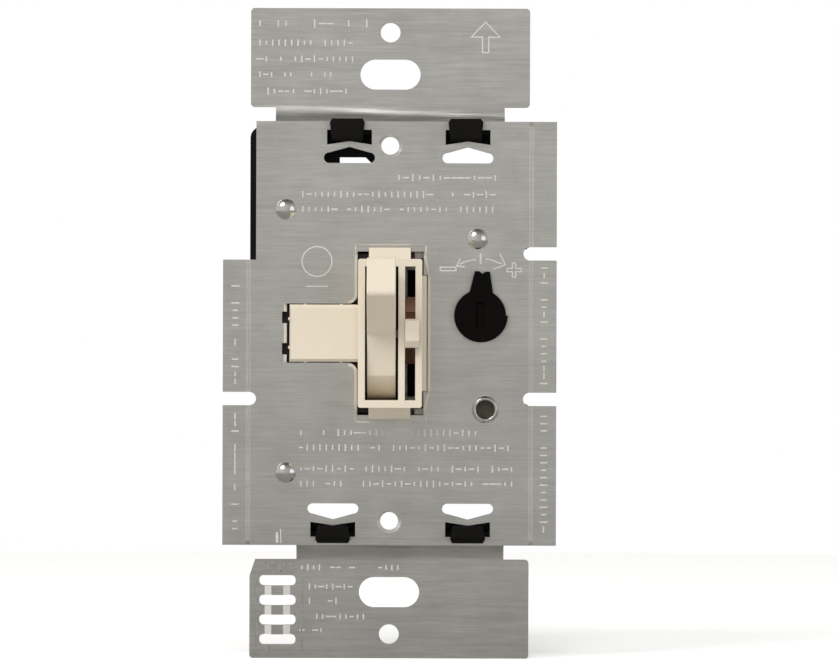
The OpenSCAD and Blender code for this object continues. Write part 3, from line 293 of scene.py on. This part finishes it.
def brushed_metal(name, light, dark, rough, grain_depth, edge, aniso=0.6, streak=8000.0):
    mat, nt, bsdf = new_material(name)
    fine = noise(nt, 1.0, 3.0, (170, 300, streak * 0.55))
    band = noise(nt, 1.0, 3.0, (45, 100, streak / 5))
    cloud = noise(nt, 130.0, 5.0, rough=0.65)
    fac = math_node(nt, "ADD", math_node(nt, "MULTIPLY", fine, GRAIN),
                    math_node(nt, "ADD", math_node(nt, "MULTIPLY", band, BANDS),
                              math_node(nt, "MULTIPLY", cloud, CLOUDS)))
    burnish_and_highlight = edge_burnish_and_highlight(nt)
    body = mix_color(nt, remap(nt, fac, 0, 1, 0.38, 0.62), dark, light)
    # Slanted faces are mixed to the edge colour and made less metallic: partly real burnish, partly
    # painted highlight
    nt.links.new(mix_color(nt, burnish_and_highlight, body, edge), bsdf.inputs["Base Color"])
    nt.links.new(remap(nt, fine, rough - 0.06, rough + 0.08), bsdf.inputs["Roughness"])
    nt.links.new(bump(nt, fine, 0.35, grain_depth), bsdf.inputs["Normal"])
    tangent = nt.nodes.new("ShaderNodeTangent")
    tangent.direction_type, tangent.axis = "RADIAL", "Z"
    nt.links.new(tangent.outputs[0], bsdf.inputs["Tangent"])
    nt.links.new(remap(nt, burnish_and_highlight, 1.0, 0.45, 0.0, 1.0), bsdf.inputs["Metallic"])
    bsdf.inputs["Anisotropic"].default_value = aniso
    return mat


def plain_metal(name, light, dark, rough, scale=900.0, depth=4e-6):
    mat, nt, bsdf = new_material(name)
    cloud = noise(nt, scale, 5.0)
    nt.links.new(mix_color(nt, remap(nt, cloud, 0, 1), dark, light), bsdf.inputs["Base Color"])
    nt.links.new(remap(nt, cloud, rough + 0.06, rough - 0.04), bsdf.inputs["Roughness"])
    nt.links.new(bump(nt, cloud, 0.3, depth), bsdf.inputs["Normal"])
    bsdf.inputs["Metallic"].default_value = 1.0
    return mat


# Roughness at the bottom of a drawn cup
CUP_FLOOR_ROUGH = 0.6


def cup_metal(name, light, dark, rough, floor, depths):
    """Bright metal with painted shade down a bore: darker and duller between two depths in m."""
    mat = plain_metal(name, light, dark, rough)
    nt = mat.node_tree
    bsdf = nt.nodes["Principled BSDF"]
    painted_bore_shade = remap(nt, object_place(nt)["Y"], 0.0, 1.0, *depths)
    bright = bsdf.inputs["Base Color"].links[0].from_socket
    nt.links.new(mix_color(nt, painted_bore_shade, bright, floor), bsdf.inputs["Base Color"])
    nt.links.new(remap(nt, painted_bore_shade, rough, CUP_FLOOR_ROUGH, 0.0, 1.0), bsdf.inputs["Roughness"])
    return mat


def plastic(name, light, dark, rough, depth=8e-6, scale=2600.0, soft=0.0, specular=0.5):
    mat, nt, bsdf = new_material(name)
    cloud = noise(nt, 90.0, 3.0)
    fine = noise(nt, scale, 4.0)
    nt.links.new(mix_color(nt, remap(nt, cloud, 0, 1), dark, light), bsdf.inputs["Base Color"])
    nt.links.new(remap(nt, fine, rough - 0.05, rough + 0.07), bsdf.inputs["Roughness"])
    nt.links.new(bump(nt, fine, 0.25, depth), bsdf.inputs["Normal"])
    bsdf.inputs["Specular IOR Level"].default_value = specular
    if soft:
        bsdf.inputs["Subsurface Weight"].default_value = soft
        bsdf.inputs["Subsurface Radius"].default_value = (0.0012, 0.0009, 0.0006)
        bsdf.inputs["Subsurface Scale"].default_value = 1.0
    return mat


MATERIALS = {
    # The plate's edge colour is partly real burnish, partly a painted highlight on slanted faces
    "brushed_aluminium": brushed_metal("brushed_aluminium", (0.83, 0.82, 0.785),
                                       (0.665, 0.655, 0.62), 0.36, 6e-6,
                                       edge=(0.93, 0.92, 0.89)),
    "crease_metal": plain_metal("crease_metal", (0.92, 0.91, 0.88), (0.60, 0.59, 0.56), 0.22,
                                scale=1500.0, depth=1.5e-5),
    "rivet_metal": plain_metal("rivet_metal", (0.90, 0.89, 0.86), (0.78, 0.77, 0.74), 0.14),
    # The eyelet's dark bore-floor colour is painted shade
    "eyelet_metal": cup_metal("eyelet_metal", (0.86, 0.85, 0.81), (0.70, 0.69, 0.66), 0.18,
                              (0.24, 0.23, 0.19), (-0.0030, -0.0012)),
    "brass_strip": plain_metal("brass_strip", (0.86, 0.66, 0.32), (0.70, 0.50, 0.22), 0.30),
    "almond_plastic": plastic("almond_plastic", (0.775, 0.70, 0.585), (0.74, 0.665, 0.55), 0.36,
                              soft=0.12),
    "steel_pin": plain_metal("steel_pin", (0.66, 0.67, 0.69), (0.52, 0.53, 0.55), 0.22),
    "brown_phenolic": plastic("brown_phenolic", (0.40, 0.19, 0.11), (0.32, 0.145, 0.08), 0.50),
    # A lighter copy of brown_phenolic for the carriage pad: painted light
    "painted_light_phenolic": plastic("painted_light_phenolic", (0.97, 0.58, 0.38), (0.90, 0.50, 0.32), 0.45),
    # The raised marks are the plate's own metal; this paler, non-metal finish is a painted
    # highlight
    "painted_stamp_highlight": plastic("painted_stamp_highlight", (0.63, 0.625, 0.60), (0.52, 0.515, 0.495), 0.34),
    "spring_bronze": plain_metal("spring_bronze", (0.78, 0.50, 0.28), (0.60, 0.38, 0.20), 0.30),
    "pot_steel": plain_metal("pot_steel", (0.90, 0.87, 0.80), (0.76, 0.73, 0.66), 0.38),
    "carbon_strip": plastic("carbon_strip", (0.10, 0.06, 0.04), (0.06, 0.035, 0.025), 0.55),
    "black_dial": plastic("black_dial", (0.0035, 0.003, 0.0028), (0.002, 0.0018, 0.0016), 0.62,
                          depth=1.2e-5, specular=0.06),
    "white_plastic": plastic("white_plastic", (0.80, 0.80, 0.77), (0.70, 0.70, 0.67), 0.42),
    "blue_plastic": plastic("blue_plastic", (0.03, 0.10, 0.36), (0.02, 0.07, 0.26), 0.40),
    "frame_plastic": plastic("frame_plastic", (0.012, 0.012, 0.012), (0.006, 0.006, 0.006), 0.5),
    "spring_steel": plain_metal("spring_steel", (0.62, 0.63, 0.66), (0.48, 0.49, 0.52), 0.26),
    "shuttle_plastic": plastic("shuttle_plastic", (0.72, 0.66, 0.50), (0.62, 0.56, 0.42), 0.45),
    "copper_blade": plain_metal("copper_blade", (0.86, 0.48, 0.30), (0.66, 0.34, 0.20), 0.28),
    "board_laminate": plastic("board_laminate", (0.06, 0.14, 0.04), (0.035, 0.09, 0.025), 0.34,
                              scale=1400.0),
    "triac_body": plastic("triac_body", (0.02, 0.02, 0.02), (0.01, 0.01, 0.01), 0.55),
    "thermal_pad": plastic("thermal_pad", (0.66, 0.42, 0.42), (0.56, 0.34, 0.34), 0.7),
    "choke_core": plastic("choke_core", (0.62, 0.55, 0.10), (0.50, 0.44, 0.07), 0.5),
    "copper_wire": plain_metal("copper_wire", (0.80, 0.36, 0.16), (0.60, 0.25, 0.10), 0.30),
    "film_capacitor": plastic("film_capacitor", (0.34, 0.05, 0.03), (0.26, 0.035, 0.02), 0.3),
    "capacitor_sleeve": plastic("capacitor_sleeve", (0.015, 0.025, 0.09), (0.01, 0.015, 0.06), 0.3),
    "resistor_body": plastic("resistor_body", (0.62, 0.45, 0.26), (0.52, 0.37, 0.20), 0.4),
    "diac_glass": plastic("diac_glass", (0.62, 0.20, 0.05), (0.50, 0.15, 0.03), 0.15),
    "clamp_steel": plain_metal("clamp_steel", (0.66, 0.66, 0.64), (0.52, 0.52, 0.50), 0.32),
    "brass_screw": plain_metal("brass_screw", (0.88, 0.70, 0.34), (0.72, 0.54, 0.24), 0.26),
    "black_screw": plain_metal("black_screw", (0.05, 0.05, 0.05), (0.03, 0.03, 0.03), 0.38),
    "cover_plastic": plastic("cover_plastic", (0.005, 0.0045, 0.004), (0.003, 0.0027, 0.0025), 0.40,
                             depth=1.5e-5, scale=1800.0, specular=0.14),
}

# ---------------------------------------------------------------- CAD nodes

# Rounding of each node's edges in mm; nodes not named get DEFAULT_ROUND
ROUND = {"yoke_plate": 0.10, "bezel": 0.14, "toggle_lever": 0.22, "slide_knob": 0.16,
         "trim_dial": 0.10, "back_cover": 0.20, "eyelet": 0.06, "rivets": 0.08,
         "choke_winding": 0.2, "triac_pad": 0.05, "wiper_contact": 0.0, "detent_spring": 0.0}
DEFAULT_ROUND = 0.1
# Corners that the CAD meshes repeat, faces that are one flat face, and edges that get rounded
MERGE, FLAT_ANGLE, EDGE_ANGLE = 2e-6, math.radians(0.6), math.radians(28)
# Nodes whose bevels leave slivers; a wider weld, or one on every node, opens round parts
SLIVERED, SLIVER = ("bezel", "toggle_lever", "bridging_contact", "yoke_plate"), 5e-7


def dress(node, obj, slot):
    mesh = obj.data
    mesh.materials.clear()
    mesh.materials.append(MATERIALS[slot])
    if "custom_normal" in mesh.attributes:
        mesh.attributes.remove(mesh.attributes["custom_normal"])
    for poly in mesh.polygons:
        poly.use_smooth = True
    width = ROUND.get(node, DEFAULT_ROUND) * MM
    weld = obj.modifiers.new("weld", "WELD")
    weld.merge_threshold = MERGE
    flat = obj.modifiers.new("flat", "DECIMATE")
    flat.decimate_type = "DISSOLVE"
    flat.angle_limit = FLAT_ANGLE
    if width:
        bevel = obj.modifiers.new("bevel", "BEVEL")
        bevel.width, bevel.segments = width, 2
        bevel.limit_method = "ANGLE"
        bevel.angle_limit = EDGE_ANGLE
        bevel.use_clamp_overlap = True
        bevel.harden_normals = True
        if node in SLIVERED:
            close = obj.modifiers.new("close", "WELD")
            close.merge_threshold = SLIVER


for part in frame["record"]["subparts"]:
    dress(part["node"], frame["nodes"][part["node"]], part["material_slot"])

# ---------------------------------------------------------------- stamped marks

# How far marks stand out of the plate and reach into it, and the width of a line, in mm
MARK_RISE, MARK_SINK, MARK_LINE = 0.07, 0.05, 0.24
# How uneven bare metal may be under a mark, in m, and how squarely it faces forward
LEVEL_PLAY, LEVEL_FACING = 2e-5, 0.99
# The y in m at which the rays that look for the plate start
RAY_START = -0.05
COVERING = ("yoke_plate", "rivets", "eyelet", "bezel", "ground_tab", "trim_dial")


def tree_of(node):
    mesh = frame["nodes"][node].data
    return BVHTree.FromPolygons([v.co for v in mesh.vertices],
                                [tuple(p.vertices) for p in mesh.polygons])


TREES = {node: tree_of(node) for node in COVERING}


def plate_level(x, z):
    """The y of the plate's flat face at x, z in mm, or None where it isn't bare metal."""
    start = Vector((x * MM, RAY_START, z * MM))
    found = {}
    for node, tree in TREES.items():
        place, normal, _, reach = tree.ray_cast(start, Vector((0, 1, 0)))
        if place is not None:
            found[node] = (reach, place.y, normal.y)
    if not found or min(found, key=lambda n: found[n][0]) != "yoke_plate":
        return None
    _, y, facing = found["yoke_plate"]
    flat = min(abs(y - CENTRE_Y), abs(y - EAR_Y)) < LEVEL_PLAY
    return y if flat and abs(facing) > LEVEL_FACING else None


def on_plate(points, margin=0.25):
    """The level of the plate under all the points and a margin round them, or None."""
    levels = [plate_level(x + i * margin, z + j * margin)
              for x, z in points for i in (-1, 0, 1) for j in (-1, 0, 1)]
    if None in levels or max(levels) - min(levels) > LEVEL_PLAY:
        return None
    return levels[0]


def stroke(bm, points, width=MARK_LINE, closed=False):
    """A raised line on the plate along points (x, z) in mm, with mitred corners."""
    level = on_plate(points)
    if level is None:
        return
    n = len(points)
    flat = [Vector(p) for p in points]
    rows = []
    for i, p in enumerate(flat):
        before = p - flat[i - 1] if closed or i else flat[1] - p
        after = flat[(i + 1) % n] - p if closed or i < n - 1 else before
        sides = [Vector((-d.y, d.x)).normalized() for d in (before, after)]
        mitre = (sides[0] + sides[1]).normalized()
        mitre *= width / 2 / max(0.5, mitre.dot(sides[0]))
        row = []
        for q in (p + mitre, p - mitre):
            for depth in (-MARK_RISE, MARK_SINK):
                row.append(bm.verts.new((q.x * MM, level + depth * MM, q.y * MM)))
        rows.append(row)
    pairs = list(zip(rows, rows[1:] + rows[:1])) if closed else list(zip(rows, rows[1:]))
    for a, b in pairs:
        for i, j in ((0, 1), (1, 3), (3, 2), (2, 0)):
            bm.faces.new((a[i], a[j], b[j], b[i]))
    if not closed:
        for row in (rows[0], rows[-1]):
            bm.faces.new((row[0], row[1], row[3], row[2]))


# Marks take the paler stamp finish by default, a painted highlight
def mark_piece(name, draw, finish="painted_stamp_highlight", edge=0.03):
    bm = bmesh.new()
    draw(bm)
    bmesh.ops.recalc_face_normals(bm, faces=bm.faces)
    mesh = bpy.data.meshes.new(name)
    bm.to_mesh(mesh)
    bm.free()
    piece = add_object(name, mesh)
    mesh.materials.append(MATERIALS[finish])
    soften = piece.modifiers.new("soften", "BEVEL")
    soften.width, soften.segments = edge * MM, 1
    soften.limit_method = "ANGLE"
    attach(piece, "chassis")


def box_outline(x0, x1, z0, z1):
    return [(x0, z0), (x1, z0), (x1, z1), (x0, z1)]


def dial_marks(bm):
    """Range marks round the trim dial: a tick, a minus, a plus and two turning arrows."""
    stroke(bm, [(14.6, 11.1), (14.6, 12.9)], 0.35)
    stroke(bm, box_outline(8.1, 10.6, 10.08, 10.62), closed=True)
    stroke(bm, [(19.68, 9.07), (20.22, 9.07), (20.22, 9.93), (21.15, 9.93), (21.15, 10.47),
                (20.22, 10.47), (20.22, 11.35), (19.68, 11.35), (19.68, 10.47), (18.8, 10.47),
                (18.8, 9.93), (19.68, 9.93)], 0.2, True)
    stroke(bm, [(11.3, 12.05), (10.75, 10.85), (12.05, 10.7)])
    stroke(bm, [(11.2, 11.1), (12.0, 11.5), (13.0, 11.75), (13.9, 11.9)])
    stroke(bm, [(17.65, 12.9), (18.55, 11.05), (16.6, 10.35)])
    stroke(bm, [(15.3, 12.0), (16.3, 11.85), (17.1, 11.5), (18.0, 11.2)])


def top_arrow(bm):
    """Arrow on the top ear that says which way up the plate goes."""
    stroke(bm, [(14.8, 45.2), (14.8, 47.7), (13.0, 47.7), (15.3, 50.1), (17.6, 47.7),
                (15.8, 47.7), (15.8, 45.2)], closed=True)


def ring_mark(bm):
    """A plain circle over a line, to the left of the nose."""
    x, z, radius, sides = -11.7, 11.5, 2.4, 32
    circle = [(x + radius * math.cos(a), z + radius * math.sin(a))
              for a in (math.tau * i / sides for i in range(sides))]
    stroke(bm, circle, 0.22, True)
    stroke(bm, [(-13.5, 7.5), (-9.9, 7.5)], 0.22)


# Rows of stamped dashes: fixed coordinate, from, to, height of a dash, whether upright
ROWS = ((49.8, -21.0, -3.0, 1.5, False), (46.7, -21.0, -6.0, 1.2, False),
        (44.1, -21.0, -6.0, 1.2, False), (41.6, -21.0, -9.0, 1.1, False),
        (38.9, -21.0, -5.0, 1.2, False), (25.0, 0.0, 20.0, 1.3, False),
        (22.3, -14.0, 17.0, 1.2, False), (19.9, -14.0, 17.0, 1.2, False),
        (-16.0, -14.2, 14.0, 1.2, False), (-18.4, -14.2, 19.5, 1.2, False),
        (-21.8, -14.2, 20.0, 1.2, False), (-24.2, -14.2, 20.0, 1.2, False),
        (-37.7, -14.0, 2.0, 1.1, False), (-40.8, -14.0, -6.0, 1.1, False),
        (-43.1, -14.0, -8.0, 1.1, False), (-45.6, -14.0, -4.0, 1.1, False),
        (-47.8, -14.0, -9.0, 1.1, False), (24.8, -8.0, 11.5, 1.4, True),
        (-24.8, -9.0, 8.0, 1.4, True), (24.8, -33.0, -13.0, 1.4, True),
        (-24.8, -33.0, -13.0, 1.4, True))
# Chance of a gap between dashes, and of a dash that stands upright
DASH_GAP, DASH_UPRIGHT = 0.14, 0.7
# A dash's width in mm, and its least length, its pitch and a gap's as parts of its height
DASH_W, DASH_SHORT, DASH_PITCH, GAP_PITCH = 0.26, 0.55, 0.85, 1.1


def dash_rows(bm):
    """Plain dashes, one straight stroke each, where the plate has stamped wording."""
    rng = random.Random(7)
    for fixed, start, end, height, upright in ROWS:
        at = start
        while at < end:
            if rng.random() < DASH_GAP:
                at += height * GAP_PITCH
                continue
            reach = height / 2 * rng.uniform(DASH_SHORT, 1.0)
            upright_dash = rng.random() < DASH_UPRIGHT
            ends = [(0, -reach), (0, reach)] if upright_dash else [(-reach, 0), (reach, 0)]
            stroke(bm, [(fixed - v, at + u) if upright else (at + u, fixed + v)
                        for u, v in ends], DASH_W)
            at += height * DASH_PITCH


# Creases round the ear's tabs, in mm: the rows above and below them as (top, bottom), the
# rows' ends, the lines beside them as (x, wander), those lines' ends, and the loose ones
CREASE_ROWS = ((-36.7, -38.7), (-50.1, -51.6))
CREASE_LEFT, CREASE_RIGHT = -19.4, -15.2
SIDE_CREASES = ((-21.35, 0.12), (-14.0, 0.1))
SIDE_TOP, SIDE_BOTTOM = -39.3, -51.0
LOOSE_CREASES, LOOSE_X, LOOSE_Z = 14, (-20.8, -15.0), (-36.9, -38.4)


def tab_creases(bm):
    """Folds pressed into the ear round the break-off tabs, and its crumpled corner."""
    rng = random.Random(11)
    for top, bottom in CREASE_ROWS:
        x = CREASE_LEFT
        while x < CREASE_RIGHT:
            lean = rng.uniform(-0.15, 0.15)
            stroke(bm, [(x, top + rng.uniform(-0.3, 0)), (x + lean, bottom)],
                   rng.uniform(0.3, 0.55))
            x += rng.uniform(0.75, 1.1)
    for x, wander in SIDE_CREASES:
        z = SIDE_TOP
        while z > SIDE_BOTTOM:
            step = rng.uniform(1.0, 2.0)
            stroke(bm, [(x + rng.uniform(-wander, wander), z),
                        (x + rng.uniform(-wander, wander), z - step)], rng.uniform(0.2, 0.35))
            z -= step + 0.15
    for _ in range(LOOSE_CREASES):
        x, z = rng.uniform(*LOOSE_X), rng.uniform(*LOOSE_Z)
        stroke(bm, [(x, z), (x + rng.uniform(0.2, 0.5), z + rng.uniform(-0.3, 0.3))], 0.2)


def edge_nick(bm):
    """Burr and line that a tool left in the lower edge of the plate's centre."""
    # Both strokes take the paler stamp finish, a painted highlight on the burr
    stroke(bm, [(-18.02, -32.0), (-17.98, -33.7)], 0.42)
    stroke(bm, [(-17.42, -31.5), (-17.38, -33.7)], 0.18)


for mark, draw in (("dial_marks", dial_marks), ("top_arrow", top_arrow),
                   ("ring_mark", ring_mark), ("dash_rows", dash_rows),
                   ("edge_nick", edge_nick)):
    mark_piece(mark, draw)
mark_piece("tab_creases", tab_creases, "crease_metal", 0.04)

# ---------------------------------------------------------------- slide carriage

# The pad's lower and upper edge, its height over the carriage, how far it reaches in,
# its distance from the carriage's sides and its rounding, in mm
CARRIAGE_PAD = (3.45, 5.85)
PAD_RISE, PAD_SINK, PAD_INSET, PAD_ROUND = 0.12, 0.05, 0.15, 0.05


def carriage_pad():
    """Raised pad on the carriage, seen above the knob through the slot, in a much lighter copy of
    the brown phenolic: painted light falling through the slot.
    """
    low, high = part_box("slide_carriage")
    bm = bmesh.new()
    bmesh.ops.create_cube(bm, size=1.0)
    size = Vector((high.x - low.x - 2 * PAD_INSET * MM, (PAD_RISE + PAD_SINK) * MM,
                   (CARRIAGE_PAD[1] - CARRIAGE_PAD[0]) * MM))
    centre = Vector(((low.x + high.x) / 2, low.y + (PAD_SINK - PAD_RISE) / 2 * MM,
                     sum(CARRIAGE_PAD) / 2 * MM))
    for vert in bm.verts:
        vert.co = centre + Vector([vert.co[i] * size[i] for i in range(3)])
    bmesh.ops.bevel(bm, geom=list(bm.edges), offset=PAD_ROUND * MM, segments=2, affect="EDGES")
    mesh = bpy.data.meshes.new("carriage_pad")
    bm.to_mesh(mesh)
    bm.free()
    piece = add_object("carriage_pad", mesh)
    mesh.materials.append(MATERIALS["painted_light_phenolic"])
    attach(piece, "slider")


carriage_pad()

# ---------------------------------------------------------------- floor

FLOOR_R, FLOOR_SIDES = 0.45, 96
FLOOR_GLOW = 0.45
# The light that the paper throws back is that of a flagged studio floor
FLOOR_BOUNCE = (("Is Diffuse Ray", 0.72), ("Is Glossy Ray", 0.28))


def make_floor():
    mesh = bpy.data.meshes.new("floor")
    bm = bmesh.new()
    bmesh.ops.create_circle(bm, cap_ends=True, segments=FLOOR_SIDES, radius=FLOOR_R)
    bm.to_mesh(mesh)
    bm.free()
    floor = add_object("floor", mesh)
    floor.location = (0, 0, CAD_LOW.z)
    mat, nt, paper = new_material("floor_paper")
    cloud = noise(nt, 3.0, 2.0)
    nt.links.new(mix_color(nt, cloud, (0.86, 0.86, 0.855), (0.90, 0.90, 0.895)),
                 paper.inputs["Base Color"])
    paper.inputs["Roughness"].default_value = 0.9
    paper.inputs["Specular IOR Level"].default_value = 0.1
    paper.inputs["Emission Color"].default_value = (1, 1, 1, 1)
    paper.inputs["Emission Strength"].default_value = FLOOR_GLOW
    path = nt.nodes.new("ShaderNodeLightPath")
    surface = paper.outputs[0]
    for ray, grey in FLOOR_BOUNCE:
        dim = nt.nodes.new("ShaderNodeBsdfDiffuse")
        dim.inputs["Color"].default_value = (grey, grey, grey * 0.98, 1)
        mix = nt.nodes.new("ShaderNodeMixShader")
        nt.links.new(path.outputs[ray], mix.inputs[0])
        nt.links.new(surface, mix.inputs[1])
        nt.links.new(dim.outputs[0], mix.inputs[2])
        surface = mix.outputs[0]
    nt.links.new(surface, nt.nodes["Material Output"].inputs[0])
    mesh.materials.append(mat)


make_floor()
